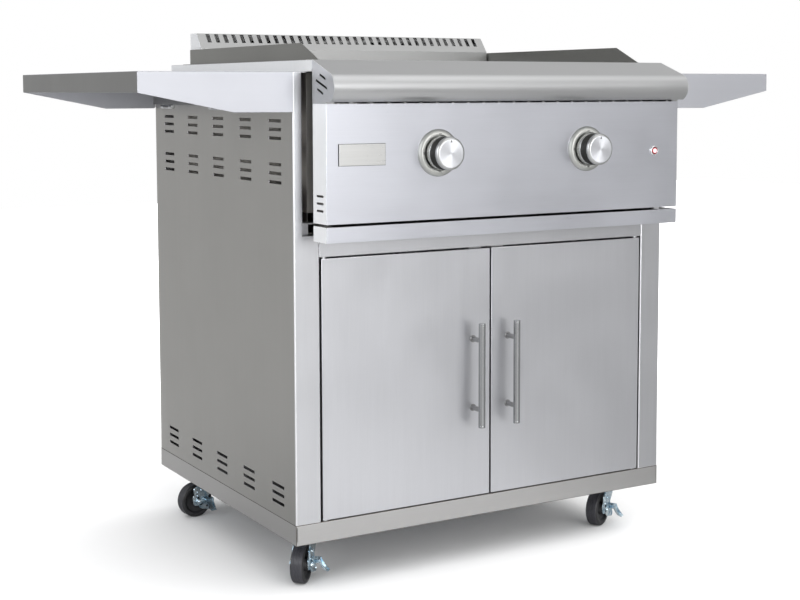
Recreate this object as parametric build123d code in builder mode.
from build123d import *
from math import atan2, degrees
import os

# Flat top gas griddle built into a stainless steel cart with two doors, two
# folding side shelves, a drip tray and four swivel casters.
# Millimetres.  +X is the user's right, +Y is the back, +Z is up.
# The origin is on the floor, under the middle of the whole object.

# ---------------------------------------------------------------- driving dimensions
SHEET = 1.5                 # stainless sheet thickness
THIN = 1.2                  # thinner sheet, for doors, pans and covers

CART_WIDTH = 878.0
CART_DEPTH = 706.0
CART_FRONT = -288.0         # front plane of the cart
BASE_BOTTOM = 100.0         # caster height
BASE_HEIGHT = 40.0
CART_TOP = 994.0

STILE_WIDTH = 53.0          # front frame, beside the doors
STILE_DEPTH = 25.0
STILE_TOP = 689.0           # above it the frame narrows to a plain flange
UPPER_FLANGE = 18.0
TOP_FLANGE = 35.0
HEADER_BOTTOM = 647.5

DOOR_THICKNESS = 16.0
DOOR_SIDE_GAP = 4.0
DOOR_CENTRE_GAP = 4.0
DOOR_BOTTOM = 141.8
DOOR_TOP = 644.1
PIVOT_INSET = 8.0           # hinge pin, in from the door's edge and face
PIN_RADIUS = 3.0
RUNNING_CLEARANCE = 0.05

HANDLE_LENGTH = 211.0
HANDLE_RADIUS = 7.0
HANDLE_STANDOFF = 33.0
HANDLE_X = 42.0
HANDLE_Z = 393.0
HANDLE_POST_PITCH = 140.0
HANDLE_POST_RADIUS = 5.0

HEAD_WIDTH = 825.0          # control panel, front rail and rim
PANEL_FRONT = -370.0
PANEL_RETURN = -317.0       # back edge of the panel's side returns
PANEL_BOTTOM = 716.0
PANEL_TOP = 935.5
RIM_TOP = 1016.0
RIM_FRONT = -316.0
RIM_BACK = 384.0

KNOB_X = 175.0
KNOB_Z = 842.0
KNOB_RADIUS = 31.5
KNOB_FRONT = -418.0
BEZEL_RADIUS = 45.0
BUTTON_X = 350.0
BUTTON_Z = 834.0

TRAY_BOTTOM = 682.0
TRAY_TOP = 711.0

PLATE_WIDTH = 749.0
PLATE_FRONT = -286.5
PLATE_BACK = 290.5
PLATE_TOP = 1006.0
PLATE_THICKNESS = 6.0

FIREBOX_HALF = 398.0
FIREBOX_FRONT = -262.0
FIREBOX_BACK = 352.0
FIREBOX_BOTTOM = 730.0

GUARD_X = 380.0
GUARD_TOP = 1050.0
VENT_HALF = 376.0
VENT_TOP = 1086.0
VENT_SLOTS = 35
VENT_PITCH = 20.64

SHELF_LENGTH = 300.0
SHELF_FRONT = -292.0
SHELF_BACK = 417.0
SHELF_DEEP = 74.0           # flange depth next to the cart
SHELF_SHALLOW = 37.5        # flange depth at the outer edge
SHELF_TAPER_START = 116.0

WHEEL_RADIUS = 37.5
WHEEL_WIDTH = 27.0
CASTER_TRAIL = 30.0
CASTER_X = 370.0
CASTER_FRONT_Y = -188.0
CASTER_BACK_Y = 318.0
CASTER_HEADINGS = {         # degrees from +Y towards +X, from wheel to kingpin
    "front_left": 43.0,
    "front_right": 61.5,
    "rear_left": 84.0,
    "rear_right": 62.0,
}

# ---------------------------------------------------------------- derived dimensions
HALF_CART = CART_WIDTH / 2
CART_BACK = CART_FRONT + CART_DEPTH
BASE_TOP = BASE_BOTTOM + BASE_HEIGHT
HALF_HEAD = HEAD_WIDTH / 2
STILE_INNER = HALF_CART - STILE_WIDTH
DOOR_OUTER = STILE_INNER - DOOR_SIDE_GAP - 0.2
DOOR_INNER = DOOR_CENTRE_GAP / 2
DOOR_BACK = CART_FRONT + DOOR_THICKNESS
PIVOT_X = DOOR_OUTER - PIVOT_INSET
PIVOT_Y = CART_FRONT + PIVOT_INSET
PLATE_BOTTOM = PLATE_TOP - PLATE_THICKNESS

os.makedirs("parts", exist_ok=True)


def slab(x, y, z, mode=Mode.ADD):
    """Add, or cut, a box given by its x, y and z ranges."""
    centre = ((x[0] + x[1]) / 2, (y[0] + y[1]) / 2, (z[0] + z[1]) / 2)
    with Locations(centre):
        Box(x[1] - x[0], y[1] - y[0], z[1] - z[0], mode=mode)


def rod(centre, radius, height, axis, mode=Mode.ADD):
    """Add, or cut, a cylinder that starts at centre and runs along axis."""
    with Locations(Plane(origin=centre, z_dir=axis)):
        Cylinder(radius, height, align=(Align.CENTER, Align.CENTER, Align.MIN), mode=mode)


def mirrored(piece):
    """The same piece on the other side of the middle plane."""
    return mirror(piece, about=Plane.YZ)


def save(piece, name):
    """Label a finished piece and write its STEP file."""
    piece.label = name
    export_step(piece, f"parts/{name}.step")


# ================================================================ cart
# ---------------------------------------------------------------- base frame
CASTER_FLANGE = 114.0       # wide bottom flange that carries the casters
BASE_LIP = 40.0
BOLT_RADIUS = 4.0
BOLT_HOLE_RADIUS = 4.2
BOLT_SPACING_X = 64.0
BOLT_SPACING_Y = 52.0
SEAM_FROM_CORNER = (1.6, 2.8)   # slit where the front strip meets a side strip

caster_centres = {
    "front_left": (-CASTER_X, CASTER_FRONT_Y),
    "front_right": (CASTER_X, CASTER_FRONT_Y),
    "rear_left": (-CASTER_X, CASTER_BACK_Y),
    "rear_right": (CASTER_X, CASTER_BACK_Y),
}
bolt_points = [
    (x + dx, y + dy)
    for x, y in caster_centres.values()
    for dx in (-BOLT_SPACING_X / 2, BOLT_SPACING_X / 2)
    for dy in (-BOLT_SPACING_Y / 2, BOLT_SPACING_Y / 2)
]

with BuildPart() as base_frame:
    slab((-HALF_CART, HALF_CART), (CART_FRONT, CART_BACK), (BASE_BOTTOM, BASE_TOP))
    inside_x = HALF_CART - SHEET
    inside_y = (CART_FRONT + SHEET, CART_BACK - SHEET)
    slab((-inside_x, inside_x), inside_y, (BASE_BOTTOM + SHEET, BASE_TOP - SHEET), Mode.SUBTRACT)
    bottom_x = HALF_CART - CASTER_FLANGE
    top_x = HALF_CART - BASE_LIP
    open_y = (CART_FRONT + BASE_LIP, CART_BACK - BASE_LIP)
    slab((-bottom_x, bottom_x), open_y, (BASE_BOTTOM, BASE_BOTTOM + SHEET), Mode.SUBTRACT)
    slab((-top_x, top_x), open_y, (BASE_TOP - SHEET, BASE_TOP), Mode.SUBTRACT)
    with BuildSketch(Plane.XY.offset(BASE_BOTTOM)):
        with Locations(*bolt_points):
            Circle(BOLT_HOLE_RADIUS)
    extrude(amount=SHEET, mode=Mode.SUBTRACT)
    for side in (-1, 1):
        seam_x = sorted(side * (HALF_CART - inset) for inset in SEAM_FROM_CORNER)
        seam_z = (BASE_BOTTOM + 8, BASE_TOP - 4)
        slab(seam_x, (CART_FRONT, CART_FRONT + SHEET), seam_z, Mode.SUBTRACT)
save(base_frame.part, "base_frame")

# ---------------------------------------------------------------- cabinet floor
with BuildPart() as cabinet_floor:
    floor_x = HALF_CART - SHEET - 0.5
    floor_y = (CART_FRONT + STILE_DEPTH + 1, CART_BACK - 2 * SHEET - 0.5)
    slab((-floor_x, floor_x), floor_y, (BASE_TOP, BASE_TOP + THIN))
save(cabinet_floor.part, "cabinet_floor")

# ---------------------------------------------------------------- side panels
LOUVRE_LENGTH = 54.0
LOUVRE_HEIGHT = 6.0
LOUVRE_CENTRE_Y = 62.0
LOUVRE_PITCH_Y = 136.0
LOUVRE_ROWS = (903.0, 886.6, 870.0, 820.5, 803.5, 786.5, 200.5, 184.0, 167.0)
LIP_DEPTH = 12.0            # return lip of the upper flange

with BuildPart() as left_side_panel:
    web = (-HALF_CART, -HALF_CART + SHEET)
    face = (CART_FRONT, CART_FRONT + SHEET)
    behind = (CART_FRONT + SHEET, CART_FRONT + STILE_DEPTH)
    slab(web, (CART_FRONT, CART_BACK), (BASE_TOP, CART_TOP))
    slab((web[0], -HALF_CART + UPPER_FLANGE), face, (BASE_TOP, CART_TOP))
    slab((web[0], -STILE_INNER), face, (BASE_TOP, STILE_TOP))
    slab((-STILE_INNER - SHEET, -STILE_INNER), (face[0], behind[1]), (BASE_TOP, STILE_TOP))
    slab((web[0], -STILE_INNER), (face[0], behind[1]), (STILE_TOP - SHEET, STILE_TOP))
    lip_edge = -HALF_CART + UPPER_FLANGE
    slab((lip_edge - SHEET, lip_edge), (face[0], face[0] + LIP_DEPTH), (STILE_TOP - SHEET, CART_TOP))
    flange = (web[0], -HALF_CART + TOP_FLANGE)
    slab(flange, (CART_FRONT, CART_BACK), (CART_TOP - SHEET, CART_TOP))
    slab(flange, (CART_BACK - SHEET, CART_BACK), (BASE_TOP, CART_TOP))
    louvre_points = [
        (LOUVRE_CENTRE_Y + column * LOUVRE_PITCH_Y, row)
        for column in range(-2, 3)
        for row in LOUVRE_ROWS
    ]
    with BuildSketch(Plane.YZ.offset(-HALF_CART)):
        with Locations(*louvre_points):
            RectangleRounded(LOUVRE_LENGTH, LOUVRE_HEIGHT, 1)
    extrude(amount=SHEET, mode=Mode.SUBTRACT)
save(left_side_panel.part, "left_side_panel")
save(mirrored(left_side_panel.part), "right_side_panel")

# ---------------------------------------------------------------- back panel
HOSE_HOLE_RADIUS = 30.0
HOSE_HOLE = (230.0, 330.0)
BACK_SLOT_ROWS = (840.0, 250.0)
BACK_SLOT_GRID = (78.0, 24.0, 9, 3)     # pitches and counts

with BuildPart() as back_panel:
    back_x = HALF_CART - SHEET
    back_y = (CART_BACK - 2 * SHEET, CART_BACK - SHEET)
    slab((-back_x, back_x), back_y, (BASE_TOP, CART_TOP - SHEET))
    with BuildSketch(Plane.XZ.offset(-back_y[0])):
        with Locations(HOSE_HOLE):
            Circle(HOSE_HOLE_RADIUS)
        for row in BACK_SLOT_ROWS:
            with Locations((0, row)):
                with GridLocations(*BACK_SLOT_GRID):
                    RectangleRounded(LOUVRE_LENGTH, LOUVRE_HEIGHT, 1)
    extrude(amount=-SHEET, mode=Mode.SUBTRACT)
save(back_panel.part, "back_panel")

# ---------------------------------------------------------------- front header
with BuildPart() as front_header:
    header_y = (CART_FRONT, CART_FRONT + STILE_DEPTH + 1)
    slab((-STILE_INNER, STILE_INNER), header_y, (HEADER_BOTTOM, STILE_TOP))
    hollow_y = (header_y[0] + SHEET, header_y[1] - SHEET)
    hollow_z = (HEADER_BOTTOM + SHEET, STILE_TOP - SHEET)
    slab((-STILE_INNER, STILE_INNER), hollow_y, hollow_z, Mode.SUBTRACT)
save(front_header.part, "front_header")

# ---------------------------------------------------------------- head support ledges
# Two ledges above the drip tray slot, each on a short post that stands on its stile.
# The grease chute passes between them.
LEDGE_BOTTOM = 710.5
LEDGE_TOP = 713.0
LEDGE_INNER = 60.0
LEDGE_POST = 18.0

with BuildPart() as head_support_ledges:
    ledge_outer = HALF_CART - UPPER_FLANGE - 1
    ledge_y = (CART_FRONT + 4, CART_FRONT + STILE_DEPTH + 1)
    for side in (-1, 1):
        ledge_x = sorted((side * LEDGE_INNER, side * ledge_outer))
        slab(ledge_x, ledge_y, (LEDGE_BOTTOM, LEDGE_TOP))
        post_x = sorted((side * ledge_outer, side * (ledge_outer - LEDGE_POST)))
        slab(post_x, (CART_FRONT + 14, CART_FRONT + STILE_DEPTH), (STILE_TOP, LEDGE_BOTTOM))
save(head_support_ledges.part, "head_support_ledges")

# ---------------------------------------------------------------- door catches
CATCH_Y = (CART_FRONT + 17.5, CART_FRONT + 32)
CATCH_Z = (628.0, HEADER_BOTTOM)
CATCH_X = (12.0, 42.0)
CATCH_MAGNETS_X = (20.0, 34.0)
CATCH_MAGNET_RADIUS = 3.0
CATCH_MAGNET_PROUD = 0.8

with BuildPart() as door_catches:
    for side in (-1, 1):
        slab(sorted(side * x for x in CATCH_X), CATCH_Y, CATCH_Z)
        for x in CATCH_MAGNETS_X:
            magnet = (side * x, CATCH_Y[0], sum(CATCH_Z) / 2)
            rod(magnet, CATCH_MAGNET_RADIUS, CATCH_MAGNET_PROUD, (0, -1, 0))
save(door_catches.part, "door_catches")

# ---------------------------------------------------------------- door hinge pins
PIN_REACH = 14.0            # length of the pin inside the door
WASHER_RADIUS = 6.0
WASHER_THICKNESS = 1.4      # of the lower washer, which carries the door

with BuildPart() as door_hinge_pins:
    for side in (-1, 1):
        pivot = (side * PIVOT_X, PIVOT_Y)
        top_gap = HEADER_BOTTOM - DOOR_TOP
        rod((*pivot, DOOR_TOP - PIN_REACH), PIN_RADIUS, top_gap + PIN_REACH, (0, 0, 1))
        rod((*pivot, DOOR_TOP + 0.5), WASHER_RADIUS, top_gap - 0.5, (0, 0, 1))
        rod((*pivot, BASE_TOP), PIN_RADIUS, PIN_REACH, (0, 0, 1))
        rod((*pivot, BASE_TOP), WASHER_RADIUS, WASHER_THICKNESS, (0, 0, 1))
save(door_hinge_pins.part, "door_hinge_pins")


# ---------------------------------------------------------------- doors
# Drawn for the left door; the right door is its mirror image.
with BuildPart() as door_panel:
    slab((-DOOR_OUTER, -DOOR_INNER), (CART_FRONT, DOOR_BACK), (DOOR_BOTTOM, DOOR_TOP))
    fillet(door_panel.edges().group_by(Axis.Y)[0], 0.8)
    inner_x = (-DOOR_OUTER + THIN, -DOOR_INNER - THIN)
    inner_z = (DOOR_BOTTOM + THIN, DOOR_TOP - THIN)
    slab(inner_x, (CART_FRONT + THIN, DOOR_BACK), inner_z, Mode.SUBTRACT)
    hole_radius = PIN_RADIUS + RUNNING_CLEARANCE
    rod((-PIVOT_X, PIVOT_Y, DOOR_BOTTOM), hole_radius, THIN, (0, 0, 1), Mode.SUBTRACT)
    rod((-PIVOT_X, PIVOT_Y, DOOR_TOP - THIN), hole_radius, THIN, (0, 0, 1), Mode.SUBTRACT)
save(door_panel.part, "left_door_panel")
save(mirrored(door_panel.part), "right_door_panel")

LINER_MARGIN = 45.0         # flat border around the liner's pressed middle
LINER_PRESSING = 5.0

with BuildPart() as door_liner:
    slab(inner_x, (DOOR_BACK - THIN, DOOR_BACK), inner_z)
    pressed_y = DOOR_BACK - LINER_PRESSING
    outer_x = (inner_x[0] + LINER_MARGIN, inner_x[1] - LINER_MARGIN)
    outer_z = (inner_z[0] + LINER_MARGIN, inner_z[1] - LINER_MARGIN)
    slab(outer_x, (pressed_y, DOOR_BACK - THIN), outer_z)
    pressed_x = (outer_x[0] + THIN, outer_x[1] - THIN)
    pressed_z = (outer_z[0] + THIN, outer_z[1] - THIN)
    slab(pressed_x, (pressed_y + THIN, DOOR_BACK), pressed_z, Mode.SUBTRACT)
save(door_liner.part, "left_door_liner")
save(mirrored(door_liner.part), "right_door_liner")

with BuildPart() as door_handle:
    bar_y = CART_FRONT - HANDLE_STANDOFF
    rod((-HANDLE_X, bar_y, HANDLE_Z - HANDLE_LENGTH / 2), HANDLE_RADIUS, HANDLE_LENGTH, (0, 0, 1))
    chamfer(door_handle.edges().filter_by(GeomType.CIRCLE), 0.8)
    for step in (-0.5, 0.5):
        post = (-HANDLE_X, CART_FRONT, HANDLE_Z + step * HANDLE_POST_PITCH)
        rod(post, HANDLE_POST_RADIUS, HANDLE_STANDOFF, (0, -1, 0))
save(door_handle.part, "left_door_handle")
save(mirrored(door_handle.part), "right_door_handle")

# ================================================================ side shelves
# The shelf hinges on a line just outside the cart's side.  The corner of its
# end flanges is rounded about that line, so that it can swing down.
HINGE_RADIUS = 4.0
HINGE_OUT = 4.5             # from the cart's side to the hinge line
HINGE_Z = CART_TOP - SHELF_DEEP + HINGE_RADIUS
HINGE_X = HALF_CART + HINGE_OUT
HINGE_LENGTH = 60.0
LEAF_TOP = HINGE_Z + 24     # the fixed leaf is hidden behind the shelf's inner flange
KNUCKLE = 29.0              # length of the shelf's own knuckle
KNUCKLE_GAP = 0.5
HINGE_PIN_RADIUS = 1.75
HINGE_YS = (-210.0, 62.0, 334.0)
SHELF_INNER_X = -HALF_CART - 0.5
SHELF_OUTER_X = -HALF_CART - SHELF_LENGTH

with BuildPart() as side_shelf:
    slab((SHELF_OUTER_X, SHELF_INNER_X), (SHELF_FRONT, SHELF_BACK), (CART_TOP - SHEET, CART_TOP))
    slab((SHELF_OUTER_X, SHELF_OUTER_X + SHEET), (SHELF_FRONT, SHELF_BACK),
         (CART_TOP - SHELF_SHALLOW, CART_TOP))
    slab((-HINGE_X - SHEET / 2, -HINGE_X + SHEET / 2), (SHELF_FRONT, SHELF_BACK),
         (HINGE_Z + HINGE_RADIUS + 1, CART_TOP))
    for flange_y in (SHELF_FRONT, SHELF_BACK - SHEET):
        flange_bottom = CART_TOP - SHELF_DEEP
        with BuildSketch(Plane.XZ.offset(-flange_y)):
            with BuildLine():
                Line((SHELF_INNER_X, CART_TOP), (SHELF_OUTER_X, CART_TOP))
                Line((SHELF_OUTER_X, CART_TOP), (SHELF_OUTER_X, CART_TOP - SHELF_SHALLOW))
                taper = (-HALF_CART - SHELF_TAPER_START, flange_bottom)
                Line((SHELF_OUTER_X, CART_TOP - SHELF_SHALLOW), taper)
                Line(taper, (-HINGE_X, flange_bottom))
                RadiusArc((-HINGE_X, flange_bottom), (SHELF_INNER_X, HINGE_Z), -HINGE_RADIUS)
                Line((SHELF_INNER_X, HINGE_Z), (SHELF_INNER_X, CART_TOP))
            make_face()
        extrude(amount=-SHEET)
    for y in HINGE_YS:
        knuckle_y = (y - KNUCKLE / 2, y + KNUCKLE / 2)
        rod((-HINGE_X, knuckle_y[0], HINGE_Z), HINGE_RADIUS, KNUCKLE, (0, 1, 0))
        slab((-HINGE_X - SHEET / 2, -HINGE_X + SHEET / 2), knuckle_y,
             (HINGE_Z, HINGE_Z + HINGE_RADIUS + 1))
        rod((-HINGE_X, knuckle_y[0], HINGE_Z), HINGE_PIN_RADIUS + RUNNING_CLEARANCE, KNUCKLE,
            (0, 1, 0), Mode.SUBTRACT)
save(side_shelf.part, "left_shelf")
save(mirrored(side_shelf.part), "right_shelf")

with BuildPart() as shelf_hinges:
    for y in HINGE_YS:
        start = y - HINGE_LENGTH / 2
        fixed = (HINGE_LENGTH - KNUCKLE) / 2 - KNUCKLE_GAP
        leaf_x = (-HALF_CART - THIN, -HALF_CART)
        slab(leaf_x, (start, start + HINGE_LENGTH), (HINGE_Z + HINGE_RADIUS + 0.5, LEAF_TOP))
        for knuckle_start in (start, start + HINGE_LENGTH - fixed):
            rod((-HINGE_X, knuckle_start, HINGE_Z), HINGE_RADIUS, fixed, (0, 1, 0))
            slab(leaf_x, (knuckle_start, knuckle_start + fixed), (HINGE_Z, HINGE_Z + 6))
        rod((-HINGE_X, start, HINGE_Z), HINGE_PIN_RADIUS, HINGE_LENGTH, (0, 1, 0))
    mirror(about=Plane.YZ)
save(shelf_hinges.part, "shelf_hinges")

# ================================================================ griddle head
# ---------------------------------------------------------------- firebox
BURNER_X = KNOB_X
TUBE_RADIUS = 14.0
FIREBOX_LIP = 32.0

with BuildPart() as firebox:
    slab((-FIREBOX_HALF, FIREBOX_HALF), (FIREBOX_FRONT, FIREBOX_BACK), (FIREBOX_BOTTOM, CART_TOP))
    wall_x = FIREBOX_HALF - SHEET
    wall_y = (FIREBOX_FRONT + SHEET, FIREBOX_BACK - SHEET)
    slab((-wall_x, wall_x), wall_y, (FIREBOX_BOTTOM + SHEET, CART_TOP - SHEET), Mode.SUBTRACT)
    mouth_x = FIREBOX_HALF - FIREBOX_LIP
    mouth_y = (FIREBOX_FRONT + 12, FIREBOX_BACK - 6)
    slab((-mouth_x, mouth_x), mouth_y, (CART_TOP - SHEET, CART_TOP), Mode.SUBTRACT)
    for side in (-1, 1):
        rod((side * BURNER_X, FIREBOX_FRONT, KNOB_Z), TUBE_RADIUS + 1, SHEET, (0, 1, 0), Mode.SUBTRACT)
save(firebox.part, "firebox")

# ---------------------------------------------------------------- top rim
RIM_OPENING_X = 376.0
RIM_OPENING_Y = (-288.0, 292.0)
EXHAUST_Y = (300.0, 350.0)
EXHAUST_X = 368.0

with BuildPart() as top_rim:
    slab((-HALF_HEAD, HALF_HEAD), (RIM_FRONT, RIM_BACK), (CART_TOP, RIM_TOP))
    skirt_x = HALF_HEAD - SHEET
    skirt_y = (RIM_FRONT + SHEET, RIM_BACK - SHEET)
    slab((-skirt_x, skirt_x), skirt_y, (CART_TOP, RIM_TOP - SHEET), Mode.SUBTRACT)
    # downturned inner edge around the cooking plate
    edge_x = RIM_OPENING_X + SHEET
    edge_y = (RIM_OPENING_Y[0] - SHEET, RIM_OPENING_Y[1] + SHEET)
    slab((-edge_x, edge_x), edge_y, (PLATE_BOTTOM + 2, RIM_TOP))
    slab((-RIM_OPENING_X, RIM_OPENING_X), RIM_OPENING_Y, (CART_TOP, RIM_TOP), Mode.SUBTRACT)
    slab((-EXHAUST_X, EXHAUST_X), EXHAUST_Y, (RIM_TOP - SHEET, RIM_TOP), Mode.SUBTRACT)
    slab((-HALF_HEAD, HALF_HEAD), (RIM_FRONT, RIM_FRONT + SHEET), (CART_TOP, CART_TOP + 4),
         Mode.SUBTRACT)
save(top_rim.part, "top_rim")

# ---------------------------------------------------------------- griddle plate
GUTTER_DEPTH = 3.0
GUTTER_Y = (PLATE_FRONT + 4, PLATE_FRONT + 24)
DRAIN_HALF = 45.0
DRAIN_Y = (-280.0, -272.0)

with BuildPart() as griddle_plate:
    plate_half = PLATE_WIDTH / 2
    slab((-plate_half, plate_half), (PLATE_FRONT, PLATE_BACK), (PLATE_BOTTOM, PLATE_TOP))
    fillet(griddle_plate.edges().filter_by(Axis.Z), 6)
    gutter_x = plate_half - 4
    slab((-gutter_x, gutter_x), GUTTER_Y, (PLATE_TOP - GUTTER_DEPTH, PLATE_TOP), Mode.SUBTRACT)
    slab((-DRAIN_HALF, DRAIN_HALF), DRAIN_Y, (PLATE_BOTTOM, PLATE_TOP), Mode.SUBTRACT)
    # feet that stand on the firebox's lip
    for side in (-1, 1):
        foot_x = sorted((side * (FIREBOX_HALF - FIREBOX_LIP + 1), side * (plate_half - 1)))
        slab(foot_x, (FIREBOX_FRONT + 14, FIREBOX_BACK - 70), (CART_TOP, PLATE_BOTTOM))
    # stiffening bars under the middle of the plate
    for x in (-140, 0, 140):
        slab((x - 3, x + 3), (FIREBOX_FRONT + 30, PLATE_BACK - 30), (PLATE_BOTTOM - 20, PLATE_BOTTOM))
save(griddle_plate.part, "griddle_plate")

# ---------------------------------------------------------------- grease chute
with BuildPart() as grease_chute:
    chute_y = (-285.0, -267.0)
    chute_z = (LEDGE_BOTTOM + 1.5, PLATE_BOTTOM - 0.5)
    slab((-55, 55), chute_y, chute_z)
    slab((-54, 54), (chute_y[0] + 1, chute_y[1] - 1), chute_z, Mode.SUBTRACT)
save(grease_chute.part, "grease_chute")

# ---------------------------------------------------------------- front rail
# Bull nose rail: a sloping top, a round nose and a flat underside.
NOSE_CENTRE = (-375.0, 965.0)
NOSE_RADIUS = 28.0
NOSE_UNDER = 939.0
SLOPE_END = (-386.6, 990.5)
NOSE_END = (-386.0, NOSE_UNDER)
RAIL_SLOT = (30.0, 2.6)
RAIL_SLOT_PITCH = 40.0
RAIL_SLOTS = 20


with BuildSketch() as rail_section:     # drawn as depth and height
    with BuildLine():
        Line((RIM_FRONT, RIM_TOP), SLOPE_END)
        ThreePointArc(SLOPE_END, (NOSE_CENTRE[0] - NOSE_RADIUS, NOSE_CENTRE[1]), NOSE_END)
        Polyline(NOSE_END, (PANEL_FRONT, NOSE_UNDER), (PANEL_FRONT, PANEL_TOP),
                 (RIM_FRONT, PANEL_TOP), (RIM_FRONT, RIM_TOP))
    make_face()
rail_outline = rail_section.sketch_local

with BuildPart() as front_rail:
    rail_half = HALF_HEAD - SHEET
    with BuildSketch(Plane.YZ.offset(-rail_half)):
        add(rail_outline)
        offset(rail_outline, amount=-SHEET, kind=Kind.INTERSECTION, mode=Mode.SUBTRACT)
    extrude(amount=2 * rail_half)
    with BuildSketch(Plane.XZ.offset(-PANEL_FRONT)):
        with Locations((0, (PANEL_TOP + NOSE_UNDER) / 2 - 0.1)):
            with GridLocations(RAIL_SLOT_PITCH, 1, RAIL_SLOTS, 1):
                Rectangle(*RAIL_SLOT)
    extrude(amount=-SHEET - 0.5, mode=Mode.SUBTRACT)
save(front_rail.part, "front_rail")

# Each cap carries three slanted slots.
CAP_SLOT_WIDTH = 4.0
CAP_SLOTS = (((-345, 989), (-369, 980)), ((-330, 979), (-375, 963)), ((-336, 962.6), (-359, 953.6)))

with BuildPart() as front_rail_end_caps:
    with BuildSketch(Plane.YZ.offset(-HALF_HEAD)):
        add(rail_outline)
        for start, end in CAP_SLOTS:
            middle = ((start[0] + end[0]) / 2, (start[1] + end[1]) / 2)
            length = Vector(end[0] - start[0], end[1] - start[1]).length
            slant = degrees(atan2(start[1] - end[1], start[0] - end[0]))
            with Locations(Location((middle[0], middle[1], 0), (0, 0, slant))):
                SlotOverall(length, CAP_SLOT_WIDTH, mode=Mode.SUBTRACT)
    extrude(amount=SHEET)
    mirror(about=Plane.YZ)
save(front_rail_end_caps.part, "front_rail_end_caps")

# ---------------------------------------------------------------- control panel
PANEL_SLOT = (27.0, 4.0)
PANEL_SLOT_Z = (767.0, 753.5, 740.0)
PANEL_SLOT_Y = -344.5
STEM_HOLE_RADIUS = 10.0
BUTTON_HOLE_RADIUS = 9.0

with BuildPart() as control_panel:
    slab((-HALF_HEAD, HALF_HEAD), (PANEL_FRONT, PANEL_RETURN), (PANEL_BOTTOM, PANEL_TOP))
    edges = control_panel.edges().filter_by(Axis.Z).group_by(Axis.Y)[0]
    fillet(edges, 1.2)
    cavity_x = HALF_HEAD - SHEET
    slab((-cavity_x, cavity_x), (PANEL_FRONT + SHEET, PANEL_RETURN),
         (PANEL_BOTTOM + SHEET, PANEL_TOP - SHEET), Mode.SUBTRACT)
    slab((-cavity_x, cavity_x), (PANEL_FRONT + 30, PANEL_RETURN), (PANEL_BOTTOM, PANEL_BOTTOM + SHEET),
         Mode.SUBTRACT)
    for side in (-1, 1):
        rod((side * KNOB_X, PANEL_FRONT, KNOB_Z), STEM_HOLE_RADIUS, SHEET, (0, 1, 0), Mode.SUBTRACT)
    rod((BUTTON_X, PANEL_FRONT, BUTTON_Z), BUTTON_HOLE_RADIUS, SHEET, (0, 1, 0), Mode.SUBTRACT)
    with BuildSketch(Plane.YZ.offset(-HALF_HEAD)):
        with Locations(*[(PANEL_SLOT_Y, z) for z in PANEL_SLOT_Z]):
            SlotOverall(*PANEL_SLOT)
    extrude(amount=HEAD_WIDTH, mode=Mode.SUBTRACT)
save(control_panel.part, "control_panel")

# ---------------------------------------------------------------- nameplate
NAMEPLATE_X = (-388.0, -290.0)
NAMEPLATE_Z = (822.0, 862.5)

with BuildPart() as nameplate:
    slab(NAMEPLATE_X, (PANEL_FRONT - 3, PANEL_FRONT), NAMEPLATE_Z)
    fillet(nameplate.edges().filter_by(Axis.Y), 2)
    chamfer(nameplate.faces().sort_by(Axis.Y)[0].edges(), 0.8)
save(nameplate.part, "nameplate")

# ---------------------------------------------------------------- splash guards
GUARD_Y = (-281.0, 350.0)
GUARD_SHOULDER_Y = -206.0   # where the sloping front end reaches full height
GUARD_FOOT = 18.0

with BuildPart() as splash_guard:
    with BuildSketch(Plane.YZ.offset(-GUARD_X - SHEET / 2)):
        Polygon((GUARD_Y[0], RIM_TOP), (GUARD_Y[1], RIM_TOP), (GUARD_Y[1], GUARD_TOP),
                (GUARD_SHOULDER_Y, GUARD_TOP), align=None)
    extrude(amount=SHEET)
    slab((-GUARD_X - GUARD_FOOT, -GUARD_X), (GUARD_Y[0] + 19, GUARD_Y[1]), (RIM_TOP, RIM_TOP + SHEET))
save(splash_guard.part, "left_splash_guard")
save(mirrored(splash_guard.part), "right_splash_guard")

# ---------------------------------------------------------------- rear vent
VENT_FRONT = 295.0
VENT_SHOULDER = 1052.0
VENT_TOP_FRONT = 322.0
VENT_BACK = 358.0
VENT_SLOT_SIZE = (9.6, 18.5)
VENT_SLOT_TOP = VENT_TOP - 1.5

with BuildPart() as rear_vent:
    with BuildSketch(Plane.YZ.offset(-VENT_HALF)):
        Polygon((VENT_FRONT, RIM_TOP), (VENT_FRONT, VENT_SHOULDER), (VENT_TOP_FRONT, VENT_TOP),
                (VENT_BACK, VENT_TOP), (VENT_BACK, RIM_TOP), align=None)
    extrude(amount=2 * VENT_HALF)
    with BuildSketch(Plane.YZ.offset(-VENT_HALF + THIN)):
        Polygon((VENT_FRONT + THIN, RIM_TOP), (VENT_FRONT + THIN, VENT_SHOULDER - 0.4),
                (VENT_TOP_FRONT + 0.6, VENT_TOP - THIN), (VENT_BACK - THIN, VENT_TOP - THIN),
                (VENT_BACK - THIN, RIM_TOP), align=None)
    extrude(amount=2 * (VENT_HALF - THIN), mode=Mode.SUBTRACT)
    with BuildSketch(Plane.XZ.offset(-VENT_FRONT)):
        with Locations((0, VENT_SLOT_TOP - VENT_SLOT_SIZE[1] / 2)):
            with GridLocations(VENT_PITCH, 1, VENT_SLOTS, 1):
                Rectangle(*VENT_SLOT_SIZE)
    extrude(amount=-(VENT_TOP_FRONT - VENT_FRONT + 4), mode=Mode.SUBTRACT)
save(rear_vent.part, "rear_vent")

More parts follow.
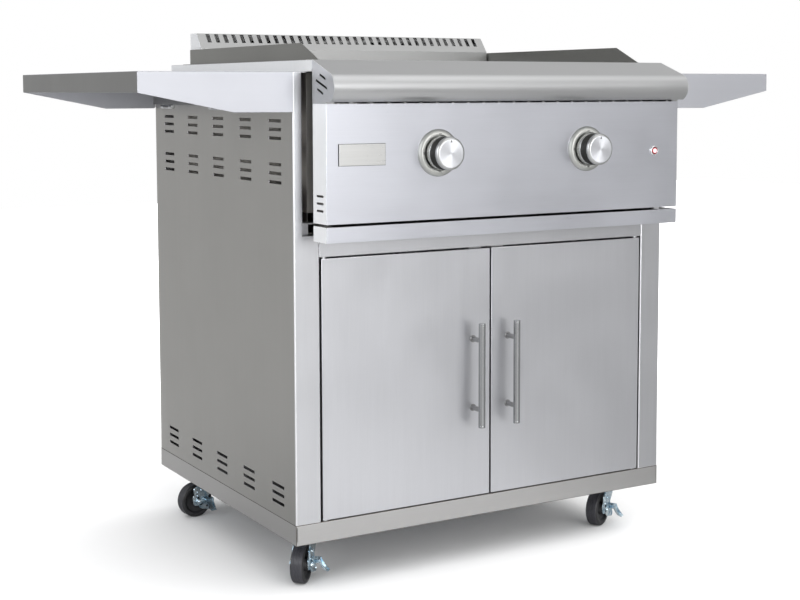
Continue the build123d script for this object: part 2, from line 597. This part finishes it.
# ---------------------------------------------------------------- burners
# A venturi tube rises from the valve to a U-shaped burner under the plate.
BURNER_Z = 925.0
BURNER_HALF_WIDTH = 130.0
BURNER_BACK = 300.0
BURNER_SECTION = 26.0
BURNER_FRONT = -114.0
TUBE_START = -298.0
TUBE_BEND = 34.0
PORT_RADIUS = 1.6
PORT_GRID = (12.0, 24.0, 2, 14)         # pitches and counts

with BuildPart() as burner:
    with BuildLine() as tube_path:
        FilletPolyline((-BURNER_X, TUBE_START, KNOB_Z), (-BURNER_X, -225, KNOB_Z),
                       (-BURNER_X, -170, BURNER_Z), (-BURNER_X, BURNER_FRONT + 2, BURNER_Z),
                       radius=TUBE_BEND)
    with BuildSketch(Plane(origin=(-BURNER_X, TUBE_START, KNOB_Z), z_dir=(0, 1, 0))):
        Circle(TUBE_RADIUS)
        Circle(TUBE_RADIUS - THIN, mode=Mode.SUBTRACT)
    sweep(path=tube_path.wires()[0])
    body_z = (BURNER_Z - BURNER_SECTION / 2 - 2, BURNER_Z + BURNER_SECTION / 2 + 2)
    arms_x = (-BURNER_X - BURNER_HALF_WIDTH, -BURNER_X + BURNER_HALF_WIDTH)
    slab(arms_x, (BURNER_FRONT, BURNER_BACK), body_z)
    fillet(burner.edges().filter_by(Axis.Z), 20)
    slab((arms_x[0] + BURNER_SECTION, arms_x[1] - BURNER_SECTION),
         (BURNER_FRONT + BURNER_SECTION, BURNER_BACK), body_z, Mode.SUBTRACT)
    with BuildSketch(Plane.XY.offset(body_z[1])):
        for x in (arms_x[0] + BURNER_SECTION / 2, arms_x[1] - BURNER_SECTION / 2):
            with Locations((x, 110)):
                with GridLocations(*PORT_GRID):
                    Circle(PORT_RADIUS)
    extrude(amount=-6, mode=Mode.SUBTRACT)
save(burner.part, "left_burner")
save(mirrored(burner.part), "right_burner")

# ---------------------------------------------------------------- gas train
MANIFOLD_Y = -332.0
MANIFOLD_Z = 812.0
MANIFOLD_RADIUS = 11.0
BOSS_TOP = 826.0
INLET_X = 388.0

with BuildPart() as gas_manifold:
    rod((-250, MANIFOLD_Y, MANIFOLD_Z), MANIFOLD_RADIUS, 250 + INLET_X + 12, (1, 0, 0))
    for side in (-1, 1):
        rod((side * KNOB_X, MANIFOLD_Y, MANIFOLD_Z), 9, BOSS_TOP - MANIFOLD_Z, (0, 0, 1))
    rod((INLET_X, MANIFOLD_Y, MANIFOLD_Z - 16), 10, 16, (0, 0, 1))
save(gas_manifold.part, "gas_manifold")

STEM_RADIUS = 4.0
VALVE_FRONT = -352.0

with BuildPart() as gas_valves:
    for side in (-1, 1):
        x = side * KNOB_X
        slab((x - 14, x + 14), (VALVE_FRONT, -314), (BOSS_TOP, 858))
        rod((x, VALVE_FRONT, KNOB_Z), 10, 4, (0, -1, 0))
        rod((x, -314, KNOB_Z), 6, 14, (0, 1, 0))
        rod((x, -300, KNOB_Z), 4, 8, (0, 1, 0))
        rod((x, VALVE_FRONT - 4, KNOB_Z), STEM_RADIUS + 0.3, 20, (0, 1, 0), Mode.SUBTRACT)
save(gas_valves.part, "gas_valves")

INLET_THREAD_RADIUS = 7.9
INLET_THREAD_LENGTH = 14.0
INLET_TOP = MANIFOLD_Z - 16

with BuildPart() as gas_inlet_fitting:
    with BuildSketch(Plane.XY.offset(INLET_TOP - 10)):
        with Locations((INLET_X, MANIFOLD_Y)):
            RegularPolygon(12, 6)
    extrude(amount=10)
    thread_top = INLET_TOP - 10
    rod((INLET_X, MANIFOLD_Y, thread_top), INLET_THREAD_RADIUS, INLET_THREAD_LENGTH, (0, 0, -1))
    rod((INLET_X, MANIFOLD_Y, thread_top - INLET_THREAD_LENGTH), 5.5, 3, (0, 0, -1))
save(gas_inlet_fitting.part, "gas_inlet_fitting")

# ---------------------------------------------------------------- knobs
def turned(points, axis_point):
    """Solid spun from a closed outline of (radius, depth) points about a line along Y."""
    with BuildPart() as body:
        with BuildSketch(Plane(origin=axis_point, x_dir=(1, 0, 0), z_dir=(0, 0, 1))):
            Polygon(*points, align=None)
        revolve(axis=Axis(axis_point, (0, 1, 0)))
    return body.part


bezel_ring = turned([(12, 0), (BEZEL_RADIUS, 0), (BEZEL_RADIUS, -4), (BEZEL_RADIUS - 4, -8),
                     (KNOB_RADIUS + 4, -8), (KNOB_RADIUS + 1.5, -2), (12, -2)],
                    (-KNOB_X, PANEL_FRONT, KNOB_Z))
with BuildPart() as knob_bezels:
    add(bezel_ring)
    mirror(about=Plane.YZ)
save(knob_bezels.part, "knob_bezels")

knob_centre = (-KNOB_X, KNOB_FRONT, KNOB_Z)
knob_cap = turned([(0, 0), (KNOB_RADIUS - 3, 0), (KNOB_RADIUS - 0.6, 2.4), (KNOB_RADIUS, 4),
                   (KNOB_RADIUS, 26), (KNOB_RADIUS - 1.2, 27), (KNOB_RADIUS - 1.2, 41),
                   (KNOB_RADIUS - 4, 41), (KNOB_RADIUS - 4, 26), (0, 26)], knob_centre)
with BuildPart() as knob:
    add(knob_cap)
    hub_start = (-KNOB_X, KNOB_FRONT + 26, KNOB_Z)
    rod(hub_start, 7, 15, (0, 1, 0))
    rod(hub_start, STEM_RADIUS, 15, (0, 1, 0), Mode.SUBTRACT)
save(knob.part, "left_knob")
save(mirrored(knob.part), "right_knob")

with BuildPart() as valve_stem:
    rod((-KNOB_X, KNOB_FRONT + 26, KNOB_Z), STEM_RADIUS, 46, (0, 1, 0))
save(valve_stem.part, "left_valve_stem")
save(mirrored(valve_stem.part), "right_valve_stem")

with BuildPart() as push_collar:
    collar_start = (-KNOB_X, PANEL_FRONT + 3, KNOB_Z)
    rod(collar_start, 8, 6, (0, 1, 0))
    rod(collar_start, STEM_RADIUS + RUNNING_CLEARANCE, 6, (0, 1, 0), Mode.SUBTRACT)
save(push_collar.part, "left_push_collar")
save(mirrored(push_collar.part), "right_push_collar")

# ---------------------------------------------------------------- light switch
BUTTON_RADIUS = 6.5

switch_centre = (BUTTON_X, PANEL_FRONT, BUTTON_Z)
switch_bezel = turned([(7, 22), (7, -3), (9.4, -3), (10.5, -1.6), (10.5, 0), (8.8, 0), (8.8, 22)],
                      switch_centre)
save(switch_bezel, "switch_bezel")

light_button = turned([(0, -4), (5.5, -4), (BUTTON_RADIUS, -3), (BUTTON_RADIUS, 14), (0, 14)],
                      switch_centre)
save(light_button, "light_button")

# ---------------------------------------------------------------- drip tray
PAN_HALF = 385.0
PAN_BACK = 200.0
PAN_BOTTOM = 692.0
PAN_TOP = 709.0

with BuildPart() as drip_tray_front:
    slab((-HALF_HEAD, HALF_HEAD), (PANEL_FRONT, PANEL_RETURN), (TRAY_BOTTOM, TRAY_TOP))
    edges = drip_tray_front.edges().filter_by(Axis.Z).group_by(Axis.Y)[0]
    fillet(edges, 1.2)
    slab((-cavity_x, cavity_x), (PANEL_FRONT + SHEET, PANEL_RETURN), (TRAY_BOTTOM, TRAY_TOP),
         Mode.SUBTRACT)
save(drip_tray_front.part, "drip_tray_front")

with BuildPart() as drip_tray_pan:
    pan_y = (PANEL_FRONT + SHEET, PAN_BACK)
    slab((-PAN_HALF, PAN_HALF), pan_y, (PAN_BOTTOM, PAN_TOP))
    slab((-PAN_HALF + THIN, PAN_HALF - THIN), (pan_y[0] + THIN, pan_y[1] - THIN),
         (PAN_BOTTOM + THIN, PAN_TOP), Mode.SUBTRACT)
save(drip_tray_pan.part, "drip_tray_pan")

with BuildPart() as tray_runners:
    runner_y = (FIREBOX_FRONT + 2, 300)
    slab((-FIREBOX_HALF + 0.5, -FIREBOX_HALF + 2), runner_y, (PAN_BOTTOM - 2, FIREBOX_BOTTOM))
    slab((-FIREBOX_HALF + 0.5, -FIREBOX_HALF + 24), runner_y, (PAN_BOTTOM - 2, PAN_BOTTOM - 0.5))
    mirror(about=Plane.YZ)
save(tray_runners.part, "tray_runners")

# ================================================================ casters
# Each caster is drawn with its kingpin at the origin and its wheel at -X,
# rolling towards +X, then turned to its own heading and moved to its corner.
PLATE_SIZE = (84.0, 70.0, 2.5)
RACE_RADIUS = 23.0
RACE_BOTTOM = 94.0
KINGPIN_RADIUS = 5.0
CROWN_TOP = 93.4
CROWN_BOTTOM = 82.0
CROWN_RADIUS = 28.5
LEG_INNER = 15.5
LEG_THICKNESS = 2.5
AXLE_RADIUS = 4.0
AXLE_Z = WHEEL_RADIUS
BRAKE_PIVOT = (29.0, 40.0)      # sideways and height
BRAKE_PIN_RADIUS = 1.6
BRAKE_WIDTH = 16.0
BRAKE_CENTRE = -8.0             # along the caster


def placed(piece, corner):
    """Turn a caster piece to its corner's heading and move it there."""
    x, y = caster_centres[corner]
    turn = 90 - CASTER_HEADINGS[corner]
    return Location((x, y, 0), (0, 0, turn)) * piece


with BuildPart() as caster_plates:
    for x, y in caster_centres.values():
        with BuildSketch(Plane.XY.offset(BASE_BOTTOM - PLATE_SIZE[2])):
            with Locations((x, y)):
                RectangleRounded(PLATE_SIZE[0], PLATE_SIZE[1], 6)
                with GridLocations(BOLT_SPACING_X, BOLT_SPACING_Y, 2, 2):
                    Circle(BOLT_HOLE_RADIUS, mode=Mode.SUBTRACT)
        extrude(amount=PLATE_SIZE[2])
        rod((x, y, RACE_BOTTOM), RACE_RADIUS, BASE_BOTTOM - RACE_BOTTOM - 1, (0, 0, 1))
        rod((x, y, CROWN_BOTTOM - 4.6), KINGPIN_RADIUS, 20, (0, 0, 1))
        rod((x, y, CROWN_BOTTOM - 4.6), 8, 4, (0, 0, 1))
save(caster_plates.part, "caster_plates")

with BuildPart() as caster_bolts:
    head_z = BASE_BOTTOM - PLATE_SIZE[2]
    nut_z = BASE_BOTTOM + SHEET
    with BuildSketch(Plane.XY.offset(head_z - 5.3)):
        with Locations(*bolt_points):
            RegularPolygon(6.5, 6, major_radius=False)
    extrude(amount=5.3)
    with BuildSketch(Plane.XY.offset(nut_z)):
        with Locations(*bolt_points):
            RegularPolygon(6.5, 6, major_radius=False)
    extrude(amount=6.5)
    with BuildSketch(Plane.XY.offset(head_z)):
        with Locations(*bolt_points):
            Circle(BOLT_RADIUS)
    extrude(amount=18)
save(caster_bolts.part, "caster_bolts")

with BuildPart() as caster_fork:
    # crown: a shallow cup around the kingpin
    with BuildSketch(Plane.XZ):
        Polygon((KINGPIN_RADIUS + RUNNING_CLEARANCE, CROWN_BOTTOM),
                (CROWN_RADIUS - 4, CROWN_BOTTOM), (CROWN_RADIUS, CROWN_TOP),
                (CROWN_RADIUS - 2, CROWN_TOP), (CROWN_RADIUS - 5.6, CROWN_BOTTOM + 2.5),
                (KINGPIN_RADIUS + RUNNING_CLEARANCE, CROWN_BOTTOM + 2.5), align=None)
    revolve(axis=Axis.Z)
    # two legs, from the crown back and down to the axle
    for inner in (LEG_INNER, -LEG_INNER - LEG_THICKNESS):
        with BuildSketch(Plane.XZ.offset(-inner)):
            with BuildLine():
                FilletPolyline((-20, CROWN_BOTTOM + 2), (-44, 47), (-42, 28), (-22, 26), (10, 62),
                               (18, CROWN_BOTTOM + 2), radius=(6, 8, 8, 12))
                Line((18, CROWN_BOTTOM + 2), (-20, CROWN_BOTTOM + 2))
            make_face()
        extrude(amount=-LEG_THICKNESS)
    # brake plate on the outside of the near leg, with two lightening holes
    plate_y = -LEG_INNER - LEG_THICKNESS
    with BuildSketch(Plane.XZ.offset(-plate_y)):
        with BuildLine():
            FilletPolyline((-30, 73), (-43, 68), (-41, 44), (-26, 20), (2, 14), (6, 22),
                           (-9, 52), (-14, 66), radius=(4, 10, 14, 3, 3, 10))
            Line((-14, 66), (-30, 73))
        make_face()
        with Locations((-35, 58.5), (-9, 24)):
            Circle(2.6, mode=Mode.SUBTRACT)
    extrude(amount=2)
    # ears and pin that carry the brake lever
    for ear_x in (BRAKE_CENTRE - BRAKE_WIDTH / 2 - 2.3, BRAKE_CENTRE + BRAKE_WIDTH / 2 + 0.3):
        ear_z = (BRAKE_PIVOT[1] - 3.5, BRAKE_PIVOT[1] + 3.5)
        slab((ear_x, ear_x + 2), (-BRAKE_PIVOT[0] - 3, plate_y), ear_z)
    rod((BRAKE_CENTRE - BRAKE_WIDTH / 2 - 1, -BRAKE_PIVOT[0], BRAKE_PIVOT[1]), BRAKE_PIN_RADIUS,
        BRAKE_WIDTH + 2, (1, 0, 0))
    # axle bolt holes, then the axle bolt itself as its own solid
    rod((-CASTER_TRAIL, 25, AXLE_Z), AXLE_RADIUS, 50, (0, -1, 0), Mode.SUBTRACT)

with BuildPart() as caster_axle:
    rod((-CASTER_TRAIL, 22.5, AXLE_Z), AXLE_RADIUS, 47.5, (0, -1, 0))
    for start in (LEG_INNER + LEG_THICKNESS, -LEG_INNER - LEG_THICKNESS - 2 - 4):
        with BuildSketch(Plane.XZ.offset(-start)):
            with Locations((-CASTER_TRAIL, AXLE_Z)):
                RegularPolygon(6.5, 6, major_radius=False)
        extrude(amount=-4)

with BuildPart() as caster_wheel:
    half = WHEEL_WIDTH / 2
    wheel_plane = Plane(origin=(-CASTER_TRAIL, 0, AXLE_Z), x_dir=(0, 0, 1), z_dir=(1, 0, 0))
    with BuildSketch(wheel_plane):
        Polygon((AXLE_RADIUS + RUNNING_CLEARANCE, -half - 1), (12, -half - 1), (13, -half + 6),
                (25, -half + 6), (27.5, -half), (33, -half), (36.2, -half + 2.2),
                (WHEEL_RADIUS, -half + 6), (WHEEL_RADIUS, half - 6), (36.2, half - 2.2),
                (33, half), (27.5, half), (25, half - 6), (13, half - 6), (12, half + 1),
                (AXLE_RADIUS + RUNNING_CLEARANCE, half + 1), align=None)
    revolve(axis=Axis((-CASTER_TRAIL, 0, AXLE_Z), (0, 1, 0)))

with BuildPart() as caster_brake:
    barrel_start = (BRAKE_CENTRE - BRAKE_WIDTH / 2, -BRAKE_PIVOT[0], BRAKE_PIVOT[1])
    rod(barrel_start, 3.6, BRAKE_WIDTH, (1, 0, 0))
    with BuildSketch(Plane.YZ.offset(BRAKE_CENTRE - BRAKE_WIDTH / 2)):
        with BuildLine():
            FilletPolyline((-BRAKE_PIVOT[0] + 2, 37.5), (-34, 29), (-47, 20), (-45.6, 18), (-32, 26.4),
                           (-25.6, 38.5), radius=(5, 0.8, 0.8, 6))
            Line((-25.6, 38.5), (-BRAKE_PIVOT[0] + 2, 37.5))
        make_face()
    extrude(amount=BRAKE_WIDTH)
    rod(barrel_start, BRAKE_PIN_RADIUS + RUNNING_CLEARANCE, BRAKE_WIDTH, (1, 0, 0), Mode.SUBTRACT)

for corner in caster_centres:
    fork = Compound([placed(caster_fork.part, corner), placed(caster_axle.part, corner)])
    save(fork, f"{corner}_caster_fork")
    save(placed(caster_wheel.part, corner), f"{corner}_caster_wheel")
    save(placed(caster_brake.part, corner), f"{corner}_caster_brake")
